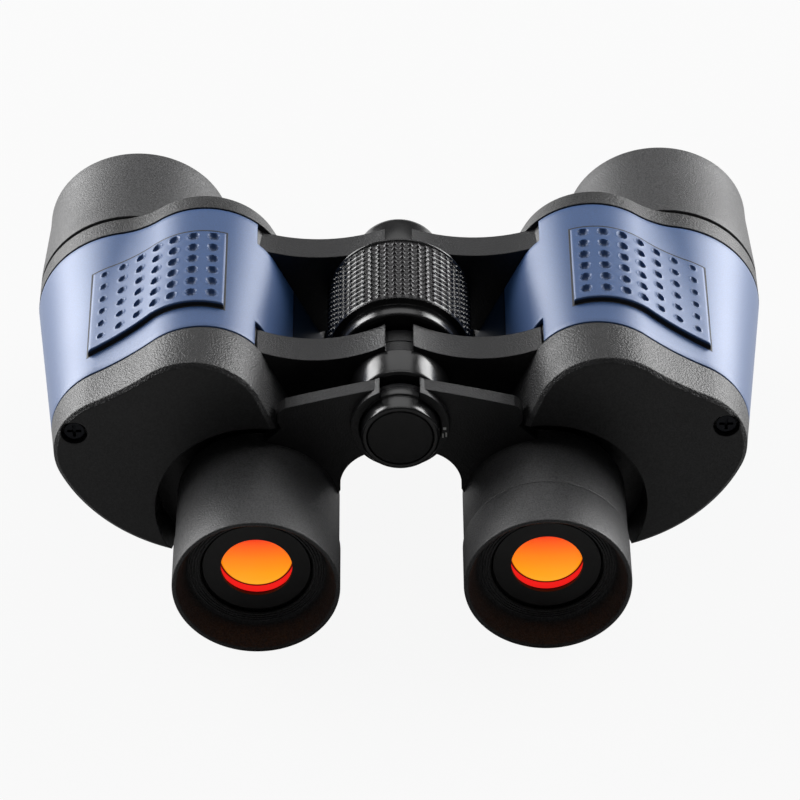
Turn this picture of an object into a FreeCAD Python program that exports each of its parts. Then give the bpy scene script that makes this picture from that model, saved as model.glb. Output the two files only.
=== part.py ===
"""Porro-prism astronomy binoculars with a centre focus wheel, in millimetres.

Left and right are as the user sees them.  Work frame: the hinge axis is the Y axis, Y = 0 is the flat rear
face of the prism covers, +Y points at the sky (objectives), +X to the right and +Z up.  Every piece of one
side is drawn for the left side (x < 0) and mirrored for the right.  save() moves the finished piece to the
part's own frame, whose origin is under the middle of the binoculars, on the surface that they stand on.
"""

import FreeCAD
import Part
import math
import os

V = FreeCAD.Vector
Y_AXIS = V(0, 1, 0)

# ---------------------------------------------------------------- driving dimensions
eye_x, eye_z = 36.0, -26.1            # eyepiece axis, from the hinge axis
objective_x, objective_z = 68.6, -9.5  # objective axis, from the hinge axis
eyecup_rim_y = -30.6                  # rear rim of the eyecups
barrel_rim_y = 100.0                  # front rim of the objective barrels
objective_lens_r = 20.0
eye_lens_r = 9.4
focus_travel = 5.5                    # eyepieces move back by this much
dioptre_travel = 1.0                  # each way, from the middle

# radial build-up of the eyepieces and of the objective barrels
cell_wall, cup_ring, cup_slope = 4.0, 3.6, 3.8
cell_r = eye_lens_r + cell_wall       # lens cell
cup_floor_r = cell_r + cup_ring       # ringed floor of the eyecup
eyecup_r = cup_floor_r + cup_slope    # outside of the eyecup
sleeve_step = 0.3
sleeve_r = eyecup_r - sleeve_step     # outside of the eyepiece sleeve in front of the eyecup
barrel_wall, barrel_taper = 3.85, 1.15
barrel_rim_r = objective_lens_r + barrel_wall  # straight rim of the objective barrel
barrel_base_r = barrel_rim_r + barrel_taper

# clearances
running = 0.10                        # shaft in its hole, radial
free = 0.30                           # moving pieces that do not guide each other
seat = 0.05                           # fixed pieces that are fitted together

# The beam enters on the objective axis, crosses to a middle axis and leaves on the eyepiece axis.  The two
# prisms are square to each other, so the middle axis is the corner of an isosceles right triangle.
cross_x = (-eye_x - objective_x) / 2 - (eye_z - objective_z) / 2
cross_z = (eye_z + objective_z) / 2 + (objective_x - eye_x) / 2
beam_hole_r = 8.2
prism_rim = 8.066                     # from a beam axis to the end of the prism's long face
prism_half = math.hypot(cross_x + eye_x, cross_z - eye_z) / 2 + prism_rim
prism_plate_y, prism_plate = 38.5, 2.0
prism_width, prism_flat = 18.0, 1.5
clip_sheet, clip_width, clip_foot = 0.5, 7.0, 1.8

# prism housing: stations along Y and the lobes of the outline there
rear_y, draft_y, nose_y, nose_end_y = 0.0, 12.0, 63.0, 69.6
recess_gap, recess_floor_y = 5.1, 12.0  # round recess in the rear cover for the eyepiece
recess_r = eyecup_r + recess_gap
recess_floor = 2.0
arm_root_x = -cross_x - 8.4           # where the hinge arms meet the housing
seam_y, seam_slope = 15.0, 0.10       # slanted seam between rear cover and armour
seam_x = arm_root_x + 0.1
groove = 0.35                         # open line between covers and armour
armour_wall, housing_wall, cover_wall = 1.2, 2.0, 1.8
armour_gap = 0.15
edge_round = 0.9                      # softened edge of the two covers
ledge = 1.5                           # step in the housing that the prism plate lies on

# hinge
axle_r, axle_bore_r = 7.0, 5.5
knuckle_r = 12.0
rear_arm_y, rear_arm_end_y = 15.0, 24.0
front_arm_y, front_arm_end_y = 55.0, 63.0
knuckle_gap = 0.30
arm_gap = 3.5                         # half the gap between left and right arm at the top
arm_gap_low = 5.6                     # the same underneath, where the arms close in
collar_r, collar_y = 13.0, 6.3
washer_sheet = 0.6
cap_r, cap_end_y = 11.1, 75.0

# focusing
wheel_r, wheel_y, wheel_end_y = 18.5, 25.2, 54.6
wheel_ring_r, knurl_y = 16.2, 29.8
wheel_chamber_r, chamber_wall = 9.2, 3.2
pin_r, pin_y = 1.2, 40.0
shaft_end_y = 46.0
lug_r, lug_y, lug_end_y = 12.3, -0.6, 5.5
lug_gap = 5.0
eye_ring_r, eye_ring_thickness = 9.4, 1.3
bridge_thickness = 4.2
end_cap_r, end_cap_y, end_cap_wall = 10.0, -4.7, 2.2
end_disc_r = 8.2

# eyepieces
guide_r, guide_y = cell_r + 0.2, -8.3
guide_bore_r = guide_r - 1.2
guide_flange_r, guide_flange = guide_r + 3.8, 1.2
sleeve_wall, sleeve_end_y = 1.4, 5.5
web_y, web_thickness = -12.0, 2.0
slide_wall = 1.4
cup_rim_wall, cup_rim_round = 1.2, 0.5
cup_floor_depth, cell_face_depth, lens_depth = 7.4, 8.0, 9.3
rib_count, rib_height = 5, 0.35
dioptre_seam_y, dioptre_seam = -15.4, 0.3
spigot_length, spigot_wall = 4.2, 1.2
field_lens_r = eye_lens_r - 0.4

# objective barrels
barrel_spigot = 6.4
rim_straight = 6.0
objective_depth = 6.0
objective_edge, objective_crown = 4.0, 1.3
retainer = 1.8

# grip panels
panel_y, panel_end_y = 22.0, 51.0
panel_x, panel_end_x = -cross_x - 0.4, objective_x + 9.6
panel_rear_height, panel_front_height = 1.6, 0.35

# cover screws
screw_x, screw_z = objective_x + objective_lens_r - 7.6, objective_z + 8.6
pocket_r, pocket_depth = 3.3, 2.6
screw_head_r, screw_head, screw_shank_r, screw_length = 2.5, 1.7, 1.2, 17.0
boss_r, boss_length = 3.9, 12.0

base_z = eye_z - eyecup_r
middle_y = (eyecup_rim_y + barrel_rim_y) / 2

os.makedirs("parts", exist_ok=True)


# ---------------------------------------------------------------- small helpers
def save(shape, name):
    """Clean the piece, move it to the part's frame and write it."""
    piece = shape.removeSplitter()
    piece.translate(V(0, -middle_y, -base_z))
    print(f"{name:28s} {len(piece.Solids)} solid  {piece.Volume:10.1f} mm3  valid {piece.isValid()}")
    piece.exportStep(f"parts/{name}.step")


def mirrored(shape):
    return shape.mirror(V(0, 0, 0), V(1, 0, 0))


def save_pair(shape, name):
    """One piece on each side: the left one and its mirror image."""
    save(shape, "left_" + name)
    save(mirrored(shape), "right_" + name)


def cylinder(r, y0, y1, x=0.0, z=0.0):
    return Part.makeCylinder(r, y1 - y0, V(x, y0, z), Y_AXIS)


def tube(r, bore, y0, y1, x=0.0, z=0.0):
    return cylinder(r, y0, y1, x, z).cut(cylinder(bore, y0, y1, x, z))


def box(x0, x1, y0, y1, z0, z1):
    return Part.makeBox(x1 - x0, y1 - y0, z1 - z0, V(x0, y0, z0))


def turned(profile, x=0.0, z=0.0):
    """A solid of revolution about the line through (x, z) along Y; the profile is (radius, y) points."""
    points = [V(x + r, y, z) for r, y in profile]
    face = Part.Face(Part.makePolygon(points + points[:1]))
    return face.revolve(V(x, 0, z), Y_AXIS, 360)


def joined(first, *others):
    for other in others:
        first = first.fuse(other)
    return first


def cut(shape, *tools):
    for tool in tools:
        shape = shape.cut(tool)
    return shape


# ---------------------------------------------------------------- outline of the prism housing
# Seen from behind, one side's outline is a closed chain of tangent arcs: the inner lobe round the first
# prism, a hollow, the outer lobe round the objective, a long lower arc, the lobe round the eyepiece and
# a straight inner flank.  Each station gives the lobes as (x, z, radius) and the two joining radii.
# A station's lobes are given from the axes that they stand round: the inner lobe from the middle axis of
# the beam, with its radius from the prism's half length, and the outer lobe from the objective axis.
def station(y, inner, outer, eye_r, hollow, lower):
    return {
        "y": y,
        "inner": (cross_x + inner[0], cross_z + inner[1], prism_half - inner[2]),
        "outer": (-objective_x + outer[0], objective_z + outer[1], outer[2]),
        "eye": eye_r,
        "hollow": hollow,
        "lower": lower,
    }


rear_lobe_r, draft_lobe_r = objective_lens_r - 3.1, objective_lens_r - 0.7
nose_lobe_r, nose_end_lobe_r = barrel_base_r + 1.2, barrel_base_r + 0.5
stations = [
    station(rear_y, (-7.5, 3.5, 3.0), (-0.9, 1.9, rear_lobe_r), eyecup_r - 6.8, 90.0, 44.0),
    station(draft_y, (-6.5, 4.7, 2.8), (0.1, 1.0, draft_lobe_r), eyecup_r - 3.8, 75.0, 47.0),
    station(nose_y, (-5.5, 3.7, 0.5), (1.0, -1.4, nose_lobe_r), eyecup_r, 23.0, 70.0),
    station(nose_end_y, (-5.9, 4.4, 1.8), (0.4, -0.7, nose_end_lobe_r), eyecup_r - 0.8, 23.0, 70.0),
]


def blend(a, b, t):
    if isinstance(a, tuple):
        return tuple(blend(p, q, t) for p, q in zip(a, b))
    return a + (b - a) * t


def section_at(y):
    """The outline's lobes at y, between the two nearest stations."""
    for low, high in zip(stations, stations[1:]):
        if y <= high["y"]:
            break
    t = (y - low["y"]) / (high["y"] - low["y"])
    return {key: blend(low[key], high[key], t) for key in low}


def apex(p, rp, q, rq, upper):
    """The point at distances rp from p and rq from q, above or below the line between them."""
    dx, dz = q[0] - p[0], q[1] - p[1]
    d = math.hypot(dx, dz)
    along = (rp * rp - rq * rq + d * d) / (2 * d)
    off = math.sqrt(rp * rp - along * along)
    side = 1 if (dx > 0) == upper else -1
    return (p[0] + (along * dx - side * off * dz) / d, p[1] + (along * dz + side * off * dx) / d)


def toward(p, q):
    d = math.hypot(q[0] - p[0], q[1] - p[1])
    return ((q[0] - p[0]) / d, (q[1] - p[1]) / d)


def outline(y, offset=0.0):
    """The closed outline at y, moved outwards by offset."""
    s = section_at(y)
    inner, outer, eye = s["inner"], s["outer"], (-eye_x, eye_z, s["eye"])
    hollow = apex(outer, outer[2] + s["hollow"], inner, inner[2] + s["hollow"], True)
    lower = apex(outer, s["lower"] - outer[2], eye, s["lower"] - eye[2], True)
    # outward normal of the straight flank that touches the eyepiece lobe and the inner lobe
    ux, uz = toward(inner, eye)
    k = (inner[2] - eye[2]) / math.hypot(eye[0] - inner[0], eye[1] - inner[1])
    c = math.sqrt(1 - k * k)
    flank = (k * ux - c * uz, k * uz + c * ux)
    away = toward(lower, outer), toward(lower, eye)
    arcs = [
        (inner, inner[2] + offset, flank, toward(inner, hollow)),
        (hollow, s["hollow"] - offset, toward(hollow, inner), toward(hollow, outer)),
        (outer, outer[2] + offset, toward(outer, hollow), away[0]),
        (lower, s["lower"] + offset, away[0], away[1]),
        (eye, eye[2] + offset, away[1], flank),
    ]
    edges = []
    for centre, r, start, end in arcs:
        middle = toward((0, 0), (start[0] + end[0], start[1] + end[1]))
        points = [V(centre[0] + r * n[0], y, centre[1] + r * n[1]) for n in (start, middle, end)]
        edges.append(Part.Arc(*points).toShape())
    first = edges[0].Vertexes[0].Point
    last = edges[-1].Vertexes[-1].Point
    edges.append(Part.LineSegment(last, first).toShape())
    return Part.Wire(edges)


loft_steps = 4
loft_ys = [draft_y + (nose_y - draft_y) * i / loft_steps for i in range(loft_steps + 1)]


def body(offset, y0, y1):
    """The housing's solid shape between y0 and y1, moved outwards by offset."""
    ys = [y0] + [y for y in loft_ys if y0 < y < y1] + [y1]
    return Part.makeLoft([outline(y, offset) for y in ys], True, True)


def behind_seam(shift=0.0):
    """All space behind the seam, moved forwards by shift: slanted outside the arm root, square inside it."""
    slanted = box(-200, 100, -100, 0, -100, 100)
    slanted.rotate(V(0, 0, 0), V(0, 0, 1), math.degrees(math.atan(seam_slope)))
    slanted.translate(V(-seam_x, seam_y + shift, 0))
    slanted = slanted.common(box(-200, -seam_x, -150, 50, -100, 100))
    return joined(slanted, box(-seam_x, 50, -50, seam_y + shift, -100, 100))


# ---------------------------------------------------------------- prism housings with their hinge arms
def arm_outline(z_gap, z_waist, z_root, reach):
    """Outline of a left hinge arm: dished top, dished underside, square end at the gap."""
    top = [(-arm_gap, z_gap), (-(arm_gap + arm_root_x) / 2, z_waist), (-arm_root_x, z_root)]
    low = [(-reach, -19.0), (-17.0, -10.8), (-arm_gap_low, -12.4)]
    top_arc = Part.Arc(*[V(x, 0, z) for x, z in top]).toShape()
    low_arc = Part.Arc(*[V(x, 0, z) for x, z in low]).toShape()
    corners = [top_arc.Vertexes[-1].Point, V(-arm_root_x, 0, -19.0), low_arc.Vertexes[0].Point]
    ends = [low_arc.Vertexes[-1].Point, V(-arm_gap_low, 0, 0), V(-arm_gap, 0, 0), top_arc.Vertexes[0].Point]
    sides = [Part.LineSegment(a, b).toShape() for a, b in zip(corners, corners[1:])]
    sides_end = [Part.LineSegment(a, b).toShape() for a, b in zip(ends, ends[1:])]
    return Part.Wire([top_arc] + sides + [low_arc] + sides_end)


def hinge_arm(wire, y0, y1, knuckle_first, bore):
    """A left arm from y0 to y1 with its knuckle in the first or second half of its width."""
    arm = Part.Face(wire).extrude(V(0, y1 - y0, 0))
    arm.translate(V(0, y0, 0))
    middle = (y0 + y1) / 2
    own = (y0, middle - knuckle_gap / 2)
    other = (middle - knuckle_gap / 2, y1)
    if not knuckle_first:
        own, other = (middle + knuckle_gap / 2, y1), (y0, middle + knuckle_gap / 2)
    arm = cut(arm, cylinder(knuckle_r + free, other[0], other[1]))
    arm = joined(arm, cylinder(knuckle_r, own[0], own[1]))
    return cut(arm, cylinder(bore, y0, y1))


rear_arm_outline = arm_outline(13.9, 9.6, 12.7, 29.0)
front_arm_outline = arm_outline(15.2, 12.2, 14.9, 29.0)
screw_boss = cylinder(boss_r, 0, seam_y + boss_length, -screw_x, screw_z)
screw_hole = cylinder(screw_shank_r + seat, 0, seam_y + boss_length, -screw_x, screw_z)


def prism_housing(rear_knuckle_first, front_knuckle_first, bore):
    """Open tube round the prisms with two hinge arms, a ledge for the prism plate and a screw boss."""
    skin = armour_wall + armour_gap
    outside = body(-skin, 8.0, nose_y)
    inside = body(-skin - housing_wall, 8.0, nose_y)
    ledge_y = prism_plate_y + prism_plate
    shelf = body(-skin - housing_wall / 2, ledge_y, ledge_y + ledge * 2)
    shelf = cut(shelf, body(-skin - housing_wall - ledge, ledge_y, ledge_y + ledge * 2))
    arms = joined(
        hinge_arm(rear_arm_outline, rear_arm_y, rear_arm_end_y, rear_knuckle_first, bore),
        hinge_arm(front_arm_outline, front_arm_y, front_arm_end_y, front_knuckle_first, bore),
    )
    wall = cut(joined(outside, arms), inside)
    boss = cut(outside.common(screw_boss), screw_hole)
    return cut(joined(wall, shelf, boss), screw_hole, behind_seam())


save(prism_housing(True, False, axle_r + seat), "left_prism_housing")
save(mirrored(prism_housing(False, True, axle_r + running)), "right_prism_housing")

# ---------------------------------------------------------------- painted armour and grip panels
armour = cut(body(0, 8.0, nose_y - groove), body(-armour_wall, 8.0, nose_y - groove), behind_seam(groove))
for arm_y, arm_end_y in ((rear_arm_y, rear_arm_end_y), (front_arm_y, front_arm_end_y)):
    notch = box(-arm_root_x - free, 0, arm_y - 6, arm_end_y + free, -19.0 - free, 40)
    if arm_y == front_arm_y:
        notch = box(-arm_root_x - free, 0, arm_y - free, arm_end_y + 6, -19.0 - free, 40)
    armour = cut(armour, notch)
save_pair(armour, "armour_shell")

panel_wires = [outline(blend(panel_y, panel_end_y, t), blend(panel_rear_height, panel_front_height, t))
               for t in (0, 0.5, 1)]
panel = Part.makeLoft(panel_wires, True, True).common(box(-panel_end_x, -panel_x, 0, 100, -2, 60))
save_pair(cut(panel, body(seat, panel_y - 1, panel_end_y + 1)), "grip_panel")

# ---------------------------------------------------------------- rear covers
eyepiece_recess = cylinder(recess_r, -5, recess_floor_y, -eye_x, eye_z)
recess_wall = cylinder(recess_r + cover_wall, -5, recess_floor_y + recess_floor, -eye_x, eye_z)
cover_wires = [outline(rear_y, -edge_round), outline(rear_y + edge_round), outline(draft_y),
               outline(seam_y + 5)]
cover_solid = Part.makeLoft(cover_wires, True, True).common(behind_seam())
cavity = cut(body(-cover_wall, rear_y + cover_wall, seam_y + 5), recess_wall)
pocket = cylinder(pocket_r, -1, pocket_depth, -screw_x, screw_z)
rear_cover = joined(cut(cover_solid, cavity), cover_solid.common(screw_boss))
rear_cover = cut(rear_cover, eyepiece_recess, pocket, screw_hole)
rear_cover = cut(rear_cover, cylinder(guide_r + seat, 0, 30, -eye_x, eye_z))
save_pair(rear_cover, "rear_cover")

screw = joined(
    cylinder(screw_head_r, pocket_depth - screw_head, pocket_depth, -screw_x, screw_z),
    cylinder(screw_shank_r, pocket_depth, pocket_depth + screw_length, -screw_x, screw_z),
)
slot_depth = screw_head * 0.6
for long_x, long_z in ((0.7 * screw_head_r, 0.35), (0.35, 0.7 * screw_head_r)):
    bar = box(-screw_x - long_x, -screw_x + long_x, -2, pocket_depth - screw_head + slot_depth,
              screw_z - long_z, screw_z + long_z)
    screw = cut(screw, bar)
save_pair(screw, "cover_screw")

# ---------------------------------------------------------------- front covers and objectives
nose_wires = [outline(nose_y), outline(nose_end_y - edge_round), outline(nose_end_y, -edge_round)]
front_cover = Part.makeLoft(nose_wires, True, True)
barrel_bore_r = objective_lens_r + seat + 0.25
spigot_r = barrel_bore_r + 1.6
hollow_front = body(-cover_wall, nose_y, nose_end_y - cover_wall)
barrel_hole = cylinder(spigot_r + seat, 0, 200, -objective_x, objective_z)
front_cover = cut(front_cover, hollow_front, barrel_hole)
save_pair(front_cover, "front_cover")

lens_front_y = barrel_rim_y - objective_depth
lens_rear_y = lens_front_y - objective_edge
barrel = turned([
    (barrel_rim_r - 1.6, barrel_rim_y), (barrel_rim_r - 0.5, barrel_rim_y - 0.2),
    (barrel_rim_r, barrel_rim_y - 0.9), (barrel_rim_r, barrel_rim_y - rim_straight),
    (barrel_base_r, nose_end_y + 3.0), (barrel_base_r, nose_end_y), (spigot_r, nose_end_y),
    (spigot_r, nose_end_y - barrel_spigot), (objective_lens_r - 1.2, nose_end_y - barrel_spigot),
    (objective_lens_r - 1.2, lens_rear_y), (barrel_bore_r, lens_rear_y), (barrel_bore_r, barrel_rim_y - 2.0),
], -objective_x, objective_z)
save_pair(barrel, "objective_barrel")


def lens(r, y_rear, y_front, crown_rear, crown_front, x, z):
    """A round lens between y_rear and y_front with a spherical crown standing out at each end."""
    disc = cylinder(r, y_rear, y_front, x, z)
    for y, crown, way in ((y_rear, crown_rear, -1), (y_front, crown_front, 1)):
        if crown <= 0:
            continue
        ball_r = (r * r + crown * crown) / (2 * crown)
        ball = Part.makeSphere(ball_r, V(x, y + way * (crown - ball_r), z))
        span = sorted((y, y + way * crown * 1.5))
        disc = joined(disc, ball.common(cylinder(r, span[0], span[1], x, z)))
    return disc


save_pair(lens(objective_lens_r, lens_rear_y, lens_front_y, 0, objective_crown, -objective_x, objective_z),
          "objective_lens")
retainer_bore = objective_lens_r - 1.3
retaining_ring = turned([
    (barrel_bore_r - seat, lens_front_y + 0.1), (barrel_bore_r - seat, lens_front_y + retainer),
    (retainer_bore + 0.6, lens_front_y + retainer), (retainer_bore, lens_front_y + 0.9),
    (retainer_bore, lens_front_y + 0.45),
], -objective_x, objective_z)
save_pair(retaining_ring, "objective_retaining_ring")

# ---------------------------------------------------------------- prisms, their plate and clips
objective_axis, cross_axis, eye_axis = (-objective_x, objective_z), (cross_x, cross_z), (-eye_x, eye_z)

plate_end_y = prism_plate_y + prism_plate
plate_offset = -armour_wall - armour_gap - housing_wall - seat * 3
plate = body(plate_offset, prism_plate_y, plate_end_y)
for beam_x, beam_z in (objective_axis, cross_axis, eye_axis):
    plate = cut(plate, cylinder(beam_hole_r, 0, 100, beam_x, beam_z))
save_pair(plate, "prism_plate")


def placed(flat, a, b, y):
    """Move a piece drawn about the origin (prism length along X) to the middle of axes a and b at y."""
    turn = math.degrees(math.atan2(b[1] - a[1], b[0] - a[0]))
    flat.rotate(V(0, 0, 0), Y_AXIS, -turn)
    flat.translate(V((a[0] + b[0]) / 2, y, (a[1] + b[1]) / 2))
    return flat


def prism(way):
    """A right-angle prism with its long face at y = 0 and its blunted ridge towards way * Y."""
    points = [(-prism_half, 0), (prism_half, 0), (prism_flat, way * (prism_half - prism_flat)),
              (-prism_flat, way * (prism_half - prism_flat))]
    corners = [V(x, y, -prism_width / 2) for x, y in points]
    return Part.Face(Part.makePolygon(corners + corners[:1])).extrude(V(0, 0, prism_width))


def prism_clip(way):
    """Spring strap over the blunted ridge, with a foot on the plate at each side of the prism."""
    inside = prism_width / 2 + seat * 2
    outside = inside + clip_sheet
    top = prism_half - prism_flat + seat * 2
    half = [(inside, top), (inside, 0), (outside + clip_foot, 0), (outside + clip_foot, clip_sheet),
            (outside, clip_sheet), (outside, top + clip_sheet)]
    points = half + [(-z, y) for z, y in reversed(half)]
    corners = [V(-clip_width / 2, way * y, z) for z, y in points]
    return Part.Face(Part.makePolygon(corners + corners[:1])).extrude(V(clip_width, 0, 0))


for name, a, b, y, way in (("first", objective_axis, cross_axis, prism_plate_y, -1),
                           ("second", eye_axis, cross_axis, plate_end_y, 1)):
    save_pair(placed(prism(way), a, b, y), name + "_prism")
    save_pair(placed(prism_clip(way), a, b, y), name + "_prism_clip")

# ---------------------------------------------------------------- hinge axle, collar and front cap
slot_end_y = pin_y + pin_r + free * 2
slot_start_y = pin_y - focus_travel - pin_r - free * 2
axle = tube(axle_r, axle_bore_r, collar_y, front_arm_end_y + 3.5)
axle = cut(axle, box(-pin_r - free, pin_r + free, slot_start_y, slot_end_y, -axle_r - 1, axle_r + 1))
save(axle, "hinge_axle")

collar = turned([
    (axle_r + seat, collar_y), (collar_r - 1.2, collar_y), (collar_r - 0.5, collar_y + 0.3),
    (collar_r - 0.2, collar_y + 1.2), (collar_r, rear_arm_y - running * 1.5),
    (axle_r + seat, rear_arm_y - running * 1.5),
])
save(collar, "hinge_collar")

cap_start_y = front_arm_end_y + running * 1.5
front_cap = turned([
    (0, cap_end_y), (cap_r - 2.4, cap_end_y), (cap_r - 0.8, cap_end_y - 0.7), (cap_r, cap_end_y - 2.2),
    (cap_r, cap_start_y), (axle_r + seat, cap_start_y), (axle_r + seat, front_arm_end_y + 3.5 + seat),
    (0, front_arm_end_y + 3.5 + seat),
])
save(front_cap, "hinge_front_cap")

rear_washer_y = (rear_arm_end_y + wheel_y) / 2
washer_y = rear_washer_y - washer_sheet / 2
washer = tube(axle_r + 3.0, axle_r + running, washer_y, washer_y + washer_sheet)
save(washer, "wheel_washer")

# ---------------------------------------------------------------- focus wheel, shaft and cross pin
wheel = turned([
    (axle_r + running, wheel_y), (wheel_ring_r - 0.6, wheel_y), (wheel_ring_r, wheel_y + 0.6),
    (wheel_ring_r, knurl_y - 0.5), (wheel_r - 0.7, knurl_y), (wheel_r, knurl_y + 0.4),
    (wheel_r, wheel_end_y - 0.5), (wheel_r - 0.7, wheel_end_y), (axle_r + running, wheel_end_y),
    (axle_r + running, slot_end_y + chamber_wall), (wheel_chamber_r, slot_end_y + chamber_wall),
    (wheel_chamber_r, slot_start_y - chamber_wall), (axle_r + running, slot_start_y - chamber_wall),
])
save(wheel, "focus_wheel")

eye_ring_y = lug_end_y - eye_ring_thickness
right_ring_end_y = eye_ring_y - knuckle_gap / 2
right_ring_y = right_ring_end_y - eye_ring_thickness
end_cap_front_y = right_ring_y - knuckle_gap / 2
shaft_r = axle_bore_r - running
shaft_y = end_cap_y + end_cap_wall
pin_hole_r = pin_r + seat
pin_slot = box(-pin_hole_r, pin_hole_r, pin_y - pin_hole_r, pin_y + pin_hole_r, -shaft_r, shaft_r)
shaft = cut(cylinder(shaft_r, shaft_y, shaft_end_y), pin_slot)
save(shaft, "focus_shaft")
pin_half = wheel_chamber_r - free * 1.5
pin = Part.makeCylinder(pin_r, 2 * pin_half, V(0, pin_y, -pin_half), V(0, 0, 1))
save(pin, "focus_cross_pin")

# ---------------------------------------------------------------- bridge between the eyepieces
ring_hold_r = eyecup_r - sleeve_wall - seat * 2
slide_bore_r = guide_r + free
slide_r = slide_bore_r + slide_wall
bridge_y = lug_end_y - bridge_thickness


def bridge_outline():
    """The flat arm from the lug to the eyepiece: dished top, round shoulder, hollow underside."""
    top_end = V(7.6 - eye_x, 0, 5.2)
    top = Part.Arc(V(-6.0, 0, 10.7), V(-eye_x / 2, 0, 7.9), top_end).toShape()
    shoulder = Part.Arc(top_end, V(5.7 - eye_x, 0, 3.0), V(6.6 - eye_x, 0, -1.2)).toShape()
    low_start = V(eyecup_r - eye_x, 0, eye_z + 5.1)
    low = Part.Arc(low_start, V(1.8 + low_start.x, 0, 7.4 + low_start.z), V(-6.0, 0, -8.9)).toShape()
    run = [shoulder.Vertexes[-1].Point, V(-eye_x, 0, eye_z + ring_hold_r - 1), V(-eye_x, 0, eye_z),
           V(-eye_x + ring_hold_r - 1, 0, eye_z), low.Vertexes[0].Point]
    back = [low.Vertexes[-1].Point, top.Vertexes[0].Point]
    lines = [Part.LineSegment(a, b).toShape() for a, b in zip(run, run[1:])]
    closing = Part.LineSegment(back[0], back[1]).toShape()
    return Part.Wire([top, shoulder] + lines + [low, closing])


def bridge_plate(grow=0.0):
    y0 = bridge_y - grow
    arm = Part.Face(bridge_outline()).extrude(V(0, lug_end_y + grow - y0, 0))
    arm.translate(V(0, y0, 0))
    return arm


def bridge_arm(ring_y, other_y, bore):
    """A left bridge arm: lug round the cap, thin ring on the shaft, flat arm and ring in the sleeve."""
    ring_end_y = ring_y + eye_ring_thickness
    lug = cylinder(lug_r, lug_y, lug_end_y).common(box(-50, -lug_gap, -50, 50, -50, 50))
    arm = joined(lug, bridge_plate(), cylinder(ring_hold_r, bridge_y, lug_end_y, -eye_x, eye_z))
    cover_side = cut(body(free, bridge_y - 1, lug_end_y + 1), cylinder(recess_r - free, -5, 15, -eye_x, eye_z))
    arm = cut(arm, cover_side)
    other_end_y = other_y + eye_ring_thickness
    other_cut = cylinder(eye_ring_r + free, other_y - knuckle_gap / 2, other_end_y + knuckle_gap / 2)
    cap_cut = cylinder(end_cap_r + free, lug_y - 1, end_cap_front_y + knuckle_gap / 2)
    arm = cut(arm, other_cut, cap_cut, cylinder(slide_r + seat * 2, -50, 50, -eye_x, eye_z))
    arm = joined(arm, cylinder(eye_ring_r, ring_y, ring_end_y))
    return cut(arm, cylinder(bore, -50, 50))


save(bridge_arm(eye_ring_y, right_ring_y, shaft_r + seat), "left_bridge_arm")
save(mirrored(bridge_arm(right_ring_y, eye_ring_y, shaft_r + running)), "right_bridge_arm")

cap_seat_y, cap_step_y, disc_seat_y = end_cap_y + end_cap_wall, end_cap_front_y - 2.2, end_cap_y + 0.8
end_cap = turned([
    (0, cap_seat_y), (shaft_r + seat, cap_seat_y), (shaft_r + seat, end_cap_front_y),
    (end_cap_r, end_cap_front_y), (end_cap_r, cap_step_y), (end_cap_r - 0.5, cap_step_y - 0.3),
    (end_cap_r - 0.3, end_cap_y + 1.2), (end_cap_r - 1.2, end_cap_y), (end_disc_r + seat, end_cap_y),
    (end_disc_r + seat, disc_seat_y), (0, disc_seat_y),
])
save(end_cap, "bridge_end_cap")
save(cylinder(end_disc_r, end_cap_y + 0.15, disc_seat_y), "end_cap_disc")

# ---------------------------------------------------------------- eyepieces
save_pair(joined(tube(guide_r, guide_bore_r, guide_y, recess_floor_y + recess_floor, -eye_x, eye_z),
                 tube(guide_flange_r, guide_r - seat, recess_floor_y - guide_flange, recess_floor_y, -eye_x,
                      eye_z)), "eyepiece_guide_tube")

wall_bore = eyecup_r - sleeve_wall
cup_rim_r = eyecup_r - cup_rim_wall
cup_floor_y = eyecup_rim_y + cup_floor_depth
cell_bore = cell_r + free


def cup_profile(end_y, end_bore):
    """Eyecup from its rim forward to end_y: hollow cone, floor with fine ribs, cylindrical skirt."""
    profile = [(eyecup_r, end_y), (eyecup_r, eyecup_rim_y + cup_rim_round),
               (eyecup_r - cup_rim_round, eyecup_rim_y), (cup_rim_r, eyecup_rim_y + 0.15)]
    profile.append((cup_floor_r + 0.4, cup_floor_y - 0.6))
    pitch = (cup_floor_r - cell_bore - 0.3) / rib_count
    for i in range(rib_count):
        r = cup_floor_r - i * pitch
        rib_r, rib_y = r - 0.5 * pitch, cup_floor_y - rib_height
        profile += [(r, cup_floor_y), (rib_r, cup_floor_y), (rib_r, rib_y), (r - pitch, rib_y)]
    profile += [(cell_bore, cup_floor_y - rib_height), (cell_bore, cup_floor_y + 2.0),
                (end_bore, cup_floor_y + 3.2), (end_bore, end_y)]
    return profile


def sleeve_body(rear_y_end):
    """Sliding part of an eyepiece: outer wall, web and the inner barrel that runs on the guide tube."""
    return joined(
        tube(sleeve_r, wall_bore, rear_y_end, sleeve_end_y, -eye_x, eye_z),
        tube(sleeve_r - 0.3, cell_r + seat, web_y - web_thickness, web_y, -eye_x, eye_z),
        tube(slide_r, slide_bore_r, web_y, sleeve_end_y, -eye_x, eye_z),
        tube(slide_r, cell_r + seat, web_y - web_thickness, web_y, -eye_x, eye_z),
    )


arm_slot = bridge_plate(seat)
cup_end_y = dioptre_seam_y - dioptre_seam
left_sleeve = joined(turned(cup_profile(cup_end_y, wall_bore), -eye_x, eye_z), sleeve_body(cup_end_y))
save(cut(left_sleeve, arm_slot), "left_eyepiece_sleeve")

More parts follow.
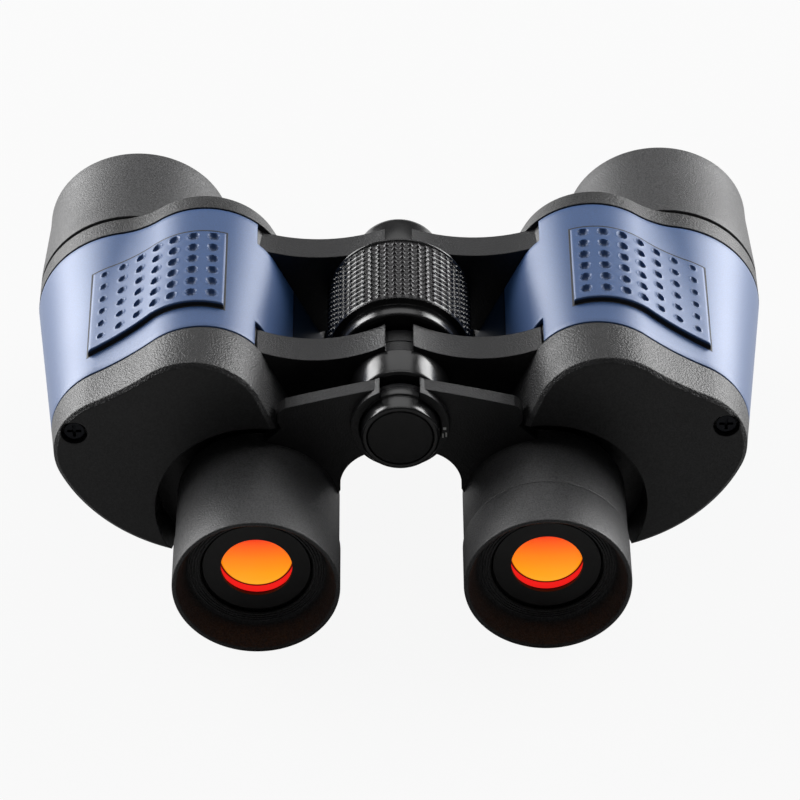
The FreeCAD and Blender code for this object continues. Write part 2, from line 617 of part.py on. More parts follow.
spigot_r_out = wall_bore + 0.2
spigot_y = dioptre_seam_y - spigot_length
spigot = tube(spigot_r_out, wall_bore - spigot_wall, spigot_y, web_y, -eye_x, eye_z)
cell_guide = tube(cell_r + 2.0, cell_r + free, spigot_y + 1, web_y, -eye_x, eye_z)
right_sleeve = joined(sleeve_body(dioptre_seam_y), spigot)
cell_hole = cylinder(cell_r + free, eyecup_rim_y, web_y - 0.01, -eye_x, eye_z)
right_sleeve = cut(joined(right_sleeve, cell_guide), cell_hole)
save(mirrored(cut(right_sleeve, arm_slot)), "right_eyepiece_sleeve")
ring_profile = cup_profile(cup_end_y, spigot_r_out + free)
save(mirrored(turned(ring_profile, -eye_x, eye_z)), "dioptre_ring")

# ---------------------------------------------------------------- lens cells and lenses of the eyepieces
cell_face_y = eyecup_rim_y + cell_face_depth
lens_y = eyecup_rim_y + lens_depth
cell_nose_r = guide_bore_r - free
cell_nose_end_y = 2.0
eye_lens_thickness, field_lens_thickness = 4.2, 3.4
field_lens_y = cell_nose_end_y - field_lens_thickness - 0.8


def lens_cell(head_end_y):
    return turned([
        (eye_lens_r - 0.5, cell_face_y + 0.9), (eye_lens_r - 0.5, cell_face_y), (cell_r, cell_face_y),
        (cell_r, head_end_y), (cell_nose_r, head_end_y), (cell_nose_r, cell_nose_end_y),
        (field_lens_r + seat, cell_nose_end_y), (field_lens_r + seat, field_lens_y - 0.1),
        (field_lens_r - 1.2, field_lens_y - 0.1), (field_lens_r - 1.2, lens_y + eye_lens_thickness + 2.0),
        (eye_lens_r + seat, lens_y + eye_lens_thickness + 2.0), (eye_lens_r + seat, cell_face_y + 0.9),
    ], -eye_x, eye_z)


save(lens_cell(guide_y - free * 2), "left_lens_cell")
save(mirrored(lens_cell(guide_y - dioptre_travel - free * 2)), "right_lens_cell")
eye_lens_end_y = lens_y + eye_lens_thickness
field_lens_end_y = field_lens_y + field_lens_thickness
save_pair(lens(eye_lens_r, lens_y + 0.6, eye_lens_end_y, 0.6, 1.6, -eye_x, eye_z), "eye_lens")
save_pair(lens(field_lens_r, field_lens_y, field_lens_end_y, 0, 1.0, -eye_x, eye_z), "field_lens")
stop_y, stop_sheet, stop_bore_r = eye_lens_end_y + 1.65, 0.3, 6.5
field_stop = tube(eye_lens_r, stop_bore_r, stop_y, stop_y + stop_sheet, -eye_x, eye_z)
save_pair(field_stop, "field_stop")
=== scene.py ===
"""Looks of the astronomy binoculars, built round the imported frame.

Shapes are worked out in millimetres about the hinge axis: X to the right, Y = 0 on the rear faces of the
prism housings and +Y towards the objectives, Z up.  new_piece() turns them to metres in the frame's place.
"""

import math

import bmesh
import bpy
import numpy as np
from mathutils import Matrix, Vector


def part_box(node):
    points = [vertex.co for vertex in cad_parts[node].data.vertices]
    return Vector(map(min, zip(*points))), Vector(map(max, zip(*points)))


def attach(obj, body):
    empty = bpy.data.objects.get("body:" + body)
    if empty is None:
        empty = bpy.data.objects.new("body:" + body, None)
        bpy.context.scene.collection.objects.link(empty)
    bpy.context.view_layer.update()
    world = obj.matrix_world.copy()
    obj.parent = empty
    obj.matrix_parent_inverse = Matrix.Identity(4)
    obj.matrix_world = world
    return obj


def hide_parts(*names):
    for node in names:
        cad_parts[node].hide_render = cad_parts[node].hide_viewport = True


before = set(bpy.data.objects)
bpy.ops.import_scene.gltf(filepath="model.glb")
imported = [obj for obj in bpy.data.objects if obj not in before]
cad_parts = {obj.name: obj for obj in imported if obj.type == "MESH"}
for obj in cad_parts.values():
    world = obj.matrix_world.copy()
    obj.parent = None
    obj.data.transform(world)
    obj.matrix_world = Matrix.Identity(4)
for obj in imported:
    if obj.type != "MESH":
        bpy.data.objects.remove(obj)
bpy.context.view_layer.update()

# ---------------------------------------------------------------- camera
# A long lens looks down on the eyepiece side from the user's end, turned a little about its own axis.
aim = Vector((0.0, -0.0181, 0.0424))
view_distance = 1.1326
view_elevation, view_yaw, view_roll = math.radians(37.845), math.radians(-0.08), math.radians(-0.7)
camera_data = bpy.data.cameras.new("long_lens")
camera_data.lens, camera_data.sensor_width = 202.5, 36.0
camera_data.clip_start, camera_data.clip_end = 0.05, 30.0
camera = bpy.data.objects.new("long_lens", camera_data)
ahead = Vector((math.sin(view_yaw) * math.cos(view_elevation), math.cos(view_yaw) * math.cos(view_elevation),
                -math.sin(view_elevation)))
level = Vector((math.cos(view_yaw), -math.sin(view_yaw), 0.0))
over = level.cross(ahead)
right = level * math.cos(view_roll) + over * math.sin(view_roll)
upward = over * math.cos(view_roll) - level * math.sin(view_roll)
turned_view = Matrix((right, upward, -ahead)).transposed().to_4x4()
camera.matrix_world = Matrix.Translation(aim - ahead * view_distance) @ turned_view
bpy.context.scene.collection.objects.link(camera)
bpy.context.scene.camera = camera


# ---------------------------------------------------------------- studio: floor, backdrop and lamps
# Plain white paper under a white surround.  Large soft boxes stand left and right, a weaker one hangs behind
# and a strip hangs overhead.  Glossy sides mirror the paper only from behind the rear faces on, so the outer
# flanks turn pale at a grazing angle while the rear faces stay dark.
def linear(code):
    """An sRGB hex colour as linear red, green, blue and alpha."""
    parts = [int(code[i:i + 2], 16) / 255 for i in (1, 3, 5)]
    return tuple(c / 12.92 if c <= 0.04045 else ((c + 0.055) / 1.055) ** 2.4 for c in parts) + (1.0,)


def add_node(tree, kind, settings):
    """Add a node.  A setting is a property by name, or an input by name or number; sockets are linked."""
    node = tree.nodes.new("ShaderNode" + kind)
    for key, value in settings.items():
        if isinstance(key, str) and key not in node.inputs:
            setattr(node, key, value)
        elif isinstance(value, bpy.types.NodeSocket):
            tree.links.new(value, node.inputs[key])
        else:
            node.inputs[key].default_value = value
    return node


def new_material(name):
    """An empty node material and its tree."""
    material = bpy.data.materials.new(name)
    material.use_nodes = True
    material.node_tree.nodes.clear()
    return material, material.node_tree


paper_white, shadow_share = linear("#8f8f8f"), 0.08
paper, tree = new_material("white_paper")
rays = add_node(tree, "LightPath", {})
seen = add_node(tree, "Math", {"operation": "MAXIMUM", 0: rays.outputs["Is Camera Ray"],
                               1: rays.outputs["Is Transmission Ray"]})
share = add_node(tree, "Math", {"operation": "MULTIPLY", 0: seen.outputs[0], 1: 1 - shadow_share})
place = add_node(tree, "TexCoord", {})
spot = add_node(tree, "SeparateXYZ", {0: place.outputs["Object"]})
behind = add_node(tree, "MapRange", {"interpolation_type": "SMOOTHSTEP", "Value": spot.outputs[1], 1: -0.035,
                                     2: 0.04, 4: 1.0})
mirrored = add_node(tree, "Math", {"operation": "MULTIPLY", 0: rays.outputs["Is Glossy Ray"],
                                   1: behind.outputs[0]})
share = add_node(tree, "Math", {"operation": "MAXIMUM", 0: share.outputs[0], 1: mirrored.outputs[0]})
matt = add_node(tree, "BsdfDiffuse", {"Color": paper_white})
glow = add_node(tree, "Emission", {"Color": (1, 1, 1, 1), "Strength": 1.0})
mix = add_node(tree, "MixShader", {0: share.outputs[0], 1: matt.outputs[0], 2: glow.outputs[0]})
add_node(tree, "OutputMaterial", {"Surface": mix.outputs[0]})

square = ((-1, -1), (1, -1), (1, 1), (-1, 1))
floor_size = 3.0
floor_mesh = bpy.data.meshes.new("paper_floor")
floor_mesh.from_pydata([(x * floor_size, y * floor_size, 0.0) for x, y in square], [], [(0, 1, 2, 3)])
floor_mesh.materials.append(paper)
floor = bpy.data.objects.new("paper_floor", floor_mesh)
bpy.context.scene.collection.objects.link(floor)

world = bpy.data.worlds.new("white_surround")
bpy.context.scene.world = world
world.use_nodes = True
tree = world.node_tree
tree.nodes.clear()
rays = add_node(tree, "LightPath", {})
seen = add_node(tree, "Math", {"operation": "MAXIMUM", 0: rays.outputs["Is Camera Ray"],
                               1: rays.outputs["Is Transmission Ray"]})
glossy = add_node(tree, "Math", {"operation": "MULTIPLY", 0: rays.outputs["Is Glossy Ray"], 1: 0.08})
shown = add_node(tree, "Math", {"operation": "MAXIMUM", 0: seen.outputs[0], 1: glossy.outputs[0]})
fill = add_node(tree, "Math", {"operation": "MAXIMUM", 0: shown.outputs[0], 1: 0.10})
surround = add_node(tree, "Background", {"Color": (1, 1, 1, 1), "Strength": fill.outputs[0]})
add_node(tree, "OutputWorld", {"Surface": surround.outputs[0]})


def soft_box(name, place, size, power):
    """A rectangular lamp at place, in metres, turned to face the middle of the object."""
    data = bpy.data.lights.new(name, "AREA")
    data.shape, data.size, data.size_y, data.energy = "RECTANGLE", size[0], size[1], power
    lamp = bpy.data.objects.new(name, data)
    toward = Vector((0, 0, 0.04)) - Vector(place)
    lamp.matrix_world = Matrix.Translation(place) @ toward.to_track_quat("-Z", "Y").to_matrix().to_4x4()
    bpy.context.scene.collection.objects.link(lamp)


soft_box("soft_box_left", (-0.85, 0.45, 0.35), (0.9, 0.7), 21.0)
soft_box("soft_box_right", (0.85, 0.45, 0.35), (0.9, 0.7), 21.0)
soft_box("soft_box_back", (0.0, 0.80, 0.95), (0.9, 0.7), 2.7)
soft_box("strip_overhead", (0.0, 0.05, 1.0), (0.9, 0.2), 2.0)


# ---------------------------------------------------------------- moulded black covers, arms and sleeves
# Black ABS from a spark-eroded mould: satin, with a fine even grain that sparkles where the lamps catch it.
# The rear faces of the prism housings come from a polished part of the mould and are nearly smooth.
def spark_eroded(name, dark, pale, rough, grain_mm, depth_mm, edge_mm, smooth_rear=False):
    """Grained black plastic; edges of the carried-over frame pieces are softened by edge_mm."""
    material, tree = new_material(name)
    place = add_node(tree, "TexCoord", {})
    grain = add_node(tree, "TexNoise", {"Vector": place.outputs["Object"], "Scale": 1000 / grain_mm,
                                        "Detail": 2.0, "Roughness": 0.6})
    cloud = add_node(tree, "TexNoise", {"Vector": place.outputs["Object"], "Scale": 45.0, "Detail": 3.0})
    grain = add_node(tree, "MapRange", {"Value": grain.outputs[0], 1: 0.36, 2: 0.64})
    tint = add_node(tree, "Mix", {"data_type": "RGBA", 0: grain.outputs[0], 6: linear(dark), 7: linear(pale)})
    gloss = add_node(tree, "MapRange", {"Value": cloud.outputs[0], 1: 0.3, 2: 0.7, 3: rough - 0.04,
                                        4: rough + 0.05})
    height = grain.outputs[0]
    if smooth_rear:
        side = add_node(tree, "SeparateXYZ", {0: place.outputs["Normal"]})
        side = add_node(tree, "MapRange", {"Value": side.outputs[1], 1: -0.97, 2: -0.9, 3: 0.12, 4: 1.0})
        height = add_node(tree, "Math", {"operation": "MULTIPLY", 0: height, 1: side.outputs[0]}).outputs[0]
    edge = add_node(tree, "Bevel", {"samples": 4, "Radius": edge_mm / 1000})
    bump = add_node(tree, "Bump", {"Strength": 0.8, "Distance": depth_mm / 1000, "Height": height,
                                   "Normal": edge.outputs[0]})
    skin = add_node(tree, "BsdfPrincipled", {"Base Color": tint.outputs[2], "Roughness": gloss.outputs[0],
                                             "IOR": 1.5, "Normal": bump.outputs[0]})
    add_node(tree, "OutputMaterial", {"Surface": skin.outputs[0]})
    return material


def wear(nodes, material):
    """Give frame nodes their finish."""
    for name in nodes:
        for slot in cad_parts[name].material_slots:
            slot.material = material


def both(*names):
    """Left and right name of each piece."""
    return [side + name for name in names for side in ("left_", "right_")]


grained_black = spark_eroded("spark_eroded_black_abs", "#0c0c0d", "#262627", 0.42, 0.5, 0.09, 0.5)
cover_black = spark_eroded("spark_eroded_black_abs_cover", "#0b0b0c", "#1f1f20", 0.42, 0.5, 0.09, 0.5, True)
# darker grain colours than the plain black: painted shade on the housings' hinge arms and the bridge arms
arm_black_painted_shade = spark_eroded("spark_eroded_black_abs_arm_painted_shade", "#08080a", "#141416", 0.42, 0.5, 0.05, 0.4)
# paler grain colours than the plain black: painted light on the sleeves, eyecups and barrel tubes
sleeve_black_painted_light = spark_eroded("spark_eroded_black_abs_sleeve_painted_light", "#1c1c1d", "#3a3a3b", 0.48, 0.45, 0.05, 0.3)
wear(both("front_cover", "eyepiece_sleeve", "objective_barrel") + ["dioptre_ring"], grained_black)
wear(both("prism_housing", "bridge_arm"), arm_black_painted_shade)
wear(both("rear_cover"), cover_black)

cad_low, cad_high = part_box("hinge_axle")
rear_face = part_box("left_rear_cover")[0].y
hinge_line = np.array([0.0, rear_face * 1000, (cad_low.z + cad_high.z) * 500])


def new_piece(name, points, faces, material, body, slot, replaced=(), closed=True, sharp=38.0, second=None):
    """A piece from points in millimetres about the hinge line and rows of point numbers; doubles are merged.
    second is another material with a 0 or 1 for each face."""
    mesh = bpy.data.meshes.new(name)
    mesh.from_pydata(((points + hinge_line) / 1000).tolist(), [], [list(row) for row in faces])
    mesh.materials.append(material)
    if second:
        mesh.materials.append(second[0])
        mesh.polygons.foreach_set("material_index", second[1])
    work = merged(mesh, closed)
    work.set_sharp_from_angle(angle=math.radians(sharp))
    piece = bpy.data.objects.new(name, work)
    bpy.context.scene.collection.objects.link(piece)
    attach(piece, body)
    if replaced:
        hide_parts(*replaced)
    return piece


def merged(mesh, closed):
    """Merge doubled points, drop faces of no area, shade smooth, and turn a closed skin's faces outwards."""
    work = bmesh.new()
    work.from_mesh(mesh)
    bmesh.ops.remove_doubles(work, verts=work.verts, dist=2e-6)
    bmesh.ops.dissolve_degenerate(work, edges=work.edges, dist=1e-6)
    if closed:
        bmesh.ops.recalc_face_normals(work, faces=work.faces)
    for face in work.faces:
        face.smooth = True
    work.to_mesh(mesh)
    work.free()
    return mesh


def quads(rows, columns, wrap_rows=False, wrap_columns=False):
    """Faces of a grid of points stored row by row, outward where columns run round +Y and rows along it."""
    i, j = np.meshgrid(np.arange(rows if wrap_rows else rows - 1),
                       np.arange(columns if wrap_columns else columns - 1), indexing="ij")
    down, along = (i + 1) % rows, (j + 1) % columns
    corners = [i * columns + j, down * columns + j, down * columns + along, i * columns + along]
    return np.stack(corners, -1).reshape(-1, 4)


def rounded(profile, steps=5):
    """Round the corners of a closed (radius, y, rounding) chain: each becomes a quadratic curve that leaves
    and meets its two sides at the rounding's distance, at most 0.45 of the side."""
    chain = np.array([(p[0], p[1], p[2] if len(p) > 2 else 0.12) for p in profile], float)
    corner, size = chain[:, :2], chain[:, 2:]
    before, after = np.roll(corner, 1, 0) - corner, np.roll(corner, -1, 0) - corner
    long_before = np.linalg.norm(before, axis=1, keepdims=True)
    long_after = np.linalg.norm(after, axis=1, keepdims=True)
    reach = np.minimum(size, 0.45 * np.minimum(long_before, long_after))
    start, end = corner + before / long_before * reach, corner + after / long_after * reach
    t = np.linspace(0, 1, steps)[None, :, None]
    curve = (1 - t) ** 2 * start[:, None] + 2 * t * (1 - t) * corner[:, None] + t ** 2 * end[:, None]
    return curve.reshape(-1, 2)


fine_turns = 144  # flats round the largest turned pieces


def turned(profile, axis, turns=120):
    """A closed (radius, y) chain carried once round the line along Y through axis = (x, z)."""
    angle = np.linspace(0, 2 * np.pi, turns, endpoint=False)
    radius, y = profile[:, 0:1], profile[:, 1:2]
    points = np.stack([axis[0] + radius * np.cos(angle), y + 0 * angle, axis[1] + radius * np.sin(angle)], -1)
    return points.reshape(-1, 3), quads(len(profile), turns, True, True)


def middle(node):
    """(x, z) of a frame node's middle, in millimetres about the hinge line."""
    low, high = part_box(node)
    return (low.x + high.x) * 500, (low.z + high.z) * 500 - hinge_line[2]


# ---------------------------------------------------------------- objective barrels
# Straight tubes with a slight taper and a rounded open mouth, moulded from the same grained black plastic and
# screwed into the front covers.
barrel_rim_r, barrel_base_r, barrel_bore_r = 23.85, 25.0, 20.3
barrel_rim_y, barrel_base_y, lens_seat_y = 100.0, 69.6, 90.0
for side in ("left", "right"):
    axis = middle(side + "_objective_barrel")
    profile = rounded([
        (barrel_bore_r, barrel_rim_y - 2.0, 0.4), (barrel_rim_r - 1.5, barrel_rim_y, 0.5),
        (barrel_rim_r, barrel_rim_y, 1.3),
        (barrel_rim_r, barrel_rim_y - 6.0, 2.0), (barrel_base_r, barrel_base_y + 3.0, 2.0),
        (barrel_base_r, barrel_base_y, 0.1),
        (barrel_bore_r + 1.6, barrel_base_y, 0.1), (barrel_bore_r + 1.6, barrel_base_y - 6.4, 0.2),
        (18.8, barrel_base_y - 6.4, 0.2), (18.8, lens_seat_y, 0.1), (barrel_bore_r, lens_seat_y, 0.1),
    ])
    new_piece(side + "_barrel_tube", *turned(profile, axis, fine_turns), sleeve_black_painted_light, side + "_half",
              "moulded_black", [side + "_objective_barrel"])

# ---------------------------------------------------------------- eyepiece sleeves, eyecups and dioptre ring
# Each eyepiece slides in its recess in one grained plastic sleeve.  The eyecup at its end is a hollow cone
# with a floor of fine rings; on the right it is the loose dioptre ring, with an open line where it turns.
cup_r, sleeve_r, sleeve_bore = 20.8, 20.5, 19.4
cup_rim_y, cup_end_y, sleeve_end_y = -30.6, -15.7, 5.4
cup_floor_y, floor_r, hole_r, ring_count, ring_height = -23.2, 17.0, 13.7, 5, 0.35


def cup_mouth():
    """Eyecup from the outside of its rim to the lens hole: rounded lip, cone, rings as square ripples."""
    pitch = (floor_r - hole_r) / ring_count
    rings = [(floor_r - (i + k / 2) * pitch, cup_floor_y - ring_height * up, 0.08)
             for i in range(ring_count) for k, up in ((0, 0), (1, 0), (1, 1), (2, 1))]
    return [(cup_r, cup_rim_y, 0.8), (cup_r - 1.1, cup_rim_y, 0.5),
            (floor_r + 0.4, cup_floor_y - 0.6, 0.3)] + rings + [(hole_r, cup_floor_y - ring_height, 0.1)]


web = [(sleeve_bore, -14.0), (13.5, -14.0), (13.5, -12.0), (13.9, -12.0), (13.9, sleeve_end_y),
       (15.3, sleeve_end_y), (15.3, -12.0), (sleeve_bore, -12.0)]
left_axis, right_axis = middle("left_eyepiece_sleeve"), middle("right_eyepiece_sleeve")
left_sleeve = cup_mouth() + [(hole_r, -21.2), (sleeve_bore, -20.0)] + web + [
    (sleeve_bore, sleeve_end_y), (sleeve_r, sleeve_end_y, 0.3), (sleeve_r, cup_end_y, 0.15),
    (cup_r, cup_end_y, 0.3)]
new_piece("left_eyecup_sleeve", *turned(rounded(left_sleeve), left_axis, fine_turns), sleeve_black_painted_light,
          "left_eyepiece", "moulded_black", ["left_eyepiece_sleeve"])
right_sleeve = [(sleeve_r, -15.4, 0.3), (19.6, -15.4), (19.6, -19.6), (18.2, -19.6), (18.2, -14.0)]
right_sleeve += web[1:] + [(sleeve_bore, sleeve_end_y), (sleeve_r, sleeve_end_y, 0.3)]
new_piece("right_sleeve_tube", *turned(rounded(right_sleeve), right_axis, fine_turns), sleeve_black_painted_light,
          "right_eyepiece", "moulded_black", ["right_eyepiece_sleeve"])
dioptre = cup_mouth() + [(hole_r, -21.2), (19.9, -20.0), (19.9, cup_end_y), (cup_r, cup_end_y, 0.35)]
new_piece("dioptre_eyecup", *turned(rounded(dioptre), right_axis, fine_turns), sleeve_black_painted_light, "dioptre_ring",
          "moulded_black", ["dioptre_ring"])

# ---------------------------------------------------------------- eyepiece lenses and their cells
# The eye lenses carry a ruby coating.  The orange it throws back, red at the upper edge, is a painted
# reflection drawn on the lens, which also glows a little as painted light.  They sit in flat black cells; the
# field lens and the blackened field stop lie behind them.
ruby_painted_reflection, tree = new_material("ruby_glass_painted_reflection")
place = add_node(tree, "TexCoord", {})
eye_height = (left_axis[1] + hinge_line[2]) / 1000
spot = add_node(tree, "SeparateXYZ", {0: place.outputs["Object"]})
rise = add_node(tree, "MapRange", {"Value": spot.outputs[2], 1: eye_height - 0.0094, 2: eye_height + 0.0094})
# painted reflection: yellow-orange low in the lens, turning red towards the top, by height
reflection_bands = add_node(tree, "ValToRGB", {0: rise.outputs[0]})
reflection_stops = [(0.0, "#ffb02e"), (0.35, "#ff9a14"), (0.6, "#fb7d0c"), (0.84, "#f5500c"), (0.93, "#f0200c"),
         (1.0, "#7c0806")]
for index, (at, code) in enumerate(reflection_stops):
    stop = reflection_bands.color_ramp.elements[index] if index < 2 else reflection_bands.color_ramp.elements.new(at)
    stop.position, stop.color = at, linear(code)
reflection_bands.color_ramp.elements[1].position, reflection_bands.color_ramp.elements[-1].position = reflection_stops[1][0], 1.0
# painted reflection: the orange is a disc set high in the lens; past a dark gap, a red crescent shows below
# it
orange_rise, orange_r, red_r, blend = 0.0022, 0.0089, 0.0094, 0.0002
beside = add_node(tree, "Math", {"operation": "ABSOLUTE", 0: spot.outputs[0]})
beside = add_node(tree, "Math", {"operation": "SUBTRACT", 0: beside.outputs[0], 1: abs(left_axis[0]) / 1000})
above = add_node(tree, "Math", {"operation": "SUBTRACT", 0: spot.outputs[2], 1: eye_height + orange_rise})
offset = add_node(tree, "CombineXYZ", {0: beside.outputs[0], 2: above.outputs[0]})
away = add_node(tree, "VectorMath", {"operation": "LENGTH", 0: offset.outputs[0]})
gap = add_node(tree, "MapRange", {"Value": away.outputs["Value"], 1: orange_r, 2: orange_r + blend})
painted_crescent = add_node(tree, "MapRange", {"Value": away.outputs["Value"], 1: red_r, 2: red_r + blend})
colour = add_node(tree, "Mix", {"data_type": "RGBA", 0: gap.outputs[0], 6: reflection_bands.outputs[0],
                                7: linear("#5a0806")})
colour = add_node(tree, "Mix", {"data_type": "RGBA", 0: painted_crescent.outputs[0], 6: colour.outputs[2],
                                7: linear("#f0201c")})
# the painted reflection also glows through emission: painted light on a lens that is no lamp
glowing_lens_skin = add_node(tree, "BsdfPrincipled", {"Base Color": colour.outputs[2], "Roughness": 0.12, "IOR": 1.5,
                                         "Coat Weight": 0.2, "Coat Roughness": 0.03,
                                         "Emission Color": colour.outputs[2], "Emission Strength": 0.95})
add_node(tree, "OutputMaterial", {"Surface": glowing_lens_skin.outputs[0]})
wear(both("eye_lens"), ruby_painted_reflection)

matt_cell = spark_eroded("matt_black_anodised_cell", "#0c0c0d", "#111112", 0.55, 0.6, 0.006, 0.15)
wear(both("lens_cell", "field_stop", "eyepiece_guide_tube", "prism_plate", "objective_retaining_ring"),
     matt_cell)

# ---------------------------------------------------------------- objective lenses, prisms and field lenses
# Clear crown glass.  The objectives have a thin blue-violet coating; behind them the barrel is dark.
glass, tree = new_material("crown_glass")
clear = add_node(tree, "BsdfPrincipled", {"Base Color": linear("#eef4f6"), "Roughness": 0.0, "IOR": 1.517,
                                          "Transmission Weight": 1.0})
add_node(tree, "OutputMaterial", {"Surface": clear.outputs[0]})
wear(both("first_prism", "second_prism", "field_lens"), glass)
coated, tree = new_material("violet_coated_glass")
lens = add_node(tree, "BsdfPrincipled", {"Base Color": linear("#4a3a86"), "Roughness": 0.02, "IOR": 1.52,
                                         "Transmission Weight": 0.75, "Coat Weight": 1.0,
                                         "Coat Tint": linear("#b9a8ff"), "Coat Roughness": 0.02})
add_node(tree, "OutputMaterial", {"Surface": lens.outputs[0]})
wear(both("objective_lens"), coated)

# ---------------------------------------------------------------- painted armour shells
# Sheet-thin shells in satin metallic blue paint clip round each prism housing between the two black covers,
# notched round the hinge arms.  A fine dark mould seam runs down the inner flank; the strip past it lies in
# shade, and is painted darker navy with its sheen dimmed: painted shade.
paint, tree = new_material("satin_metallic_blue_paint")
place = add_node(tree, "TexCoord", {})
flake_mm = 0.30  # real flakes are finer; drawn this coarse so that they show
# x of the mould seam on the inner flank; past it the strip is painted shade
flank_seam, line_half, line_blend = 0.027, 0.00012, 0.00004
flake = add_node(tree, "TexNoise", {"Vector": place.outputs["Object"], "Scale": 1000 / flake_mm,
                                    "Detail": 2.0})
cloud = add_node(tree, "TexNoise", {"Vector": place.outputs["Object"], "Scale": 30.0, "Detail": 2.0})
tint = add_node(tree, "Mix", {"data_type": "RGBA", 0: flake.outputs[0], 6: linear("#132c52"),
                              7: linear("#254c7e")})
gloss = add_node(tree, "MapRange", {"Value": cloud.outputs[0], 1: 0.3, 2: 0.7, 3: 0.46, 4: 0.52})
bump = add_node(tree, "Bump", {"Strength": 0.35, "Distance": 0.00002, "Height": flake.outputs[0]})
spot = add_node(tree, "SeparateXYZ", {0: place.outputs["Object"]})
across = add_node(tree, "Math", {"operation": "ABSOLUTE", 0: spot.outputs[0]})
inside = add_node(tree, "MapRange", {"Value": across.outputs[0], 1: flank_seam + line_half,
                                     2: flank_seam + line_half + line_blend})
within = add_node(tree, "MapRange", {"Value": across.outputs[0], 1: flank_seam - line_half - line_blend,
                                     2: flank_seam - line_half, 3: 1.0, 4: 0.0})
# the seam's own near-black mould line, and past it the strip in darker navy: painted shade
strip = add_node(tree, "Mix", {"data_type": "RGBA", 0: within.outputs[0], 6: linear("#050507"),
                               7: linear("#0f1f33")})
tint = add_node(tree, "Mix", {"data_type": "RGBA", 0: inside.outputs[0], 6: strip.outputs[2],
                              7: tint.outputs[2]})
# the strip's sheen is dimmed too, as part of the painted shade
sheen_dimmed_in_shade = add_node(tree, "MapRange", {"Value": across.outputs[0], 1: flank_seam + line_half,
                                    2: flank_seam + line_half + line_blend, 3: 0.04, 4: 0.5})
skin = add_node(tree, "BsdfPrincipled", {"Base Color": tint.outputs[2], "Metallic": 0.12,
                                         "Roughness": gloss.outputs[0],
                                         "Specular IOR Level": sheen_dimmed_in_shade.outputs[0],
                                         "Coat Weight": sheen_dimmed_in_shade.outputs[0], "Coat Roughness": 0.45,
                                         "Normal": bump.outputs[0]})
add_node(tree, "OutputMaterial", {"Surface": skin.outputs[0]})

# black grained plastic on the pad's wall and the line round its foot: painted shade for the shaded groove
shadow_gap = spark_eroded("painted_shade_black_edge", "#0a0a0b", "#131314", 0.6, 0.5, 0.02, 0.1)

# Lobes of the housing's outline at four places along Y, seen from behind: the inner lobe round the first
# prism, the outer one round the objective and the eyepiece lobe, with the radii of the joining arcs.
station_y = [0.0, 12.0, 63.0, 69.6]
lobe_values = {
    "inner": ([-51.5, -50.5, -49.5, -49.9], [2.0, 3.2, 2.2, 2.9], [18.0, 18.2, 20.5, 19.2]),
    "outer": ([-69.5, -68.5, -67.6, -68.2], [-7.6, -8.5, -10.9, -10.2], [16.9, 19.3, 26.2, 25.5]),
    "eye": ([-36.0] * 4, [-26.1] * 4, [14.0, 17.0, 20.8, 20.0]),
}
hollow_values, lower_values = [90.0, 75.0, 23.0, 23.0], [44.0, 47.0, 70.0, 70.0]


def apex(p, p_reach, q, q_reach):
    """Where two circles round p and q cross, on the left of the way from p to q."""
    dx, dz = q[0] - p[0], q[1] - p[1]
    gap = np.hypot(dx, dz)
    along = (p_reach ** 2 - q_reach ** 2 + gap ** 2) / (2 * gap)
    off = np.sqrt(p_reach ** 2 - along ** 2)
    return p[0] + (along * dx - off * dz) / gap, p[1] + (along * dz + off * dx) / gap


def direction(p, q):
    return np.arctan2(q[1] - p[1], q[0] - p[0])


def outline_arcs(y):
    """The outline's arcs at each y: centre, radius, first and last angle, and whether it bends outwards."""
    inner, outer, eye = [[np.interp(y, station_y, v) for v in lobe_values[key]]
                         for key in ("inner", "outer", "eye")]
    hollow_r, lower_r = np.interp(y, station_y, hollow_values), np.interp(y, station_y, lower_values)
    hollow = apex(outer, outer[2] + hollow_r, inner, inner[2] + hollow_r)
    lower = apex(outer, lower_r - outer[2], eye, lower_r - eye[2])
    slope = np.arcsin((inner[2] - eye[2]) / np.hypot(eye[0] - inner[0], eye[1] - inner[1]))
    flank = direction(inner, eye) + np.pi / 2 - slope
    return {
        "inner": (inner, inner[2], flank, direction(inner, hollow), 1),
        "hollow": (hollow, hollow_r, direction(hollow, inner), direction(hollow, outer), -1),
        "outer": (outer, outer[2], direction(outer, hollow), direction(lower, outer), 1),
        "lower": (lower, lower_r, direction(lower, outer), direction(lower, eye), 1),
        "eye": (eye, eye[2], direction(lower, eye), flank, 1),
    }


def arc_points(arc, share, offset):
    """Points at a share of the arc's sweep, moved outwards by offset."""
    centre, radius, first, last, way = arc
    sweep = (last - first + np.pi) % (2 * np.pi) - np.pi
    angle = first + sweep * share
    reach = radius + way * offset
    return centre[0] + reach * np.cos(angle), centre[1] + reach * np.sin(angle)


# columns of the shell: each block is one arc or a stretch of the straight flank, cut where the notch begins
root_x, root_z = -35.9, -19.3
blocks = [("inner_low", 10), ("inner_high", 26), ("hollow", 22), ("outer", 46), ("lower", 26), ("eye", 30),
          ("flank_low", 6), ("flank_high", 14)]
block_of = np.concatenate([[name] * count for name, count in blocks])
share_of = np.concatenate([np.arange(count) / count for _, count in blocks])


